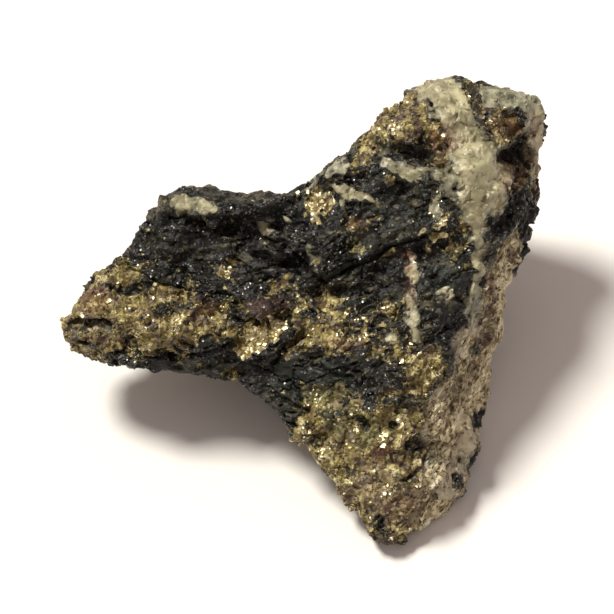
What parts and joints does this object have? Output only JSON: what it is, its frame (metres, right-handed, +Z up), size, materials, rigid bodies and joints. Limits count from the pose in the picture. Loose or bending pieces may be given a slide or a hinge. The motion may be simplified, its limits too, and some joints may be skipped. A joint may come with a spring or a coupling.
{
  "type": "quartz and pyrite specimen",
  "caption": "Broken, lobed lump of dark schist with granular pyrite crusts and milky quartz veins, resting on the rough flat breaks of its underside.",
  "frame": {"origin": "on the surface that the lump rests on, below the middle of its box", "axes": "+Z up, +Y towards the raised upper block and away from the broad broken face, +X from the left arm to the right flank"},
  "size_m": [0.0879, 0.0772, 0.0488],
  "materials": {
    "schist": "dark grey-green schist, freshly broken in thin layers, with a satin lustre and fine mica sparkle",
    "pyrite": "granular pyrite, pale brass yellow with a metallic lustre, tarnished brown in places",
    "quartz": "milky vein quartz, cream to grey, with a glassy broken surface"
  },
  "bodies": {
    "root": {"specimen_rock": "schist"}
  },
  "joints": []
}
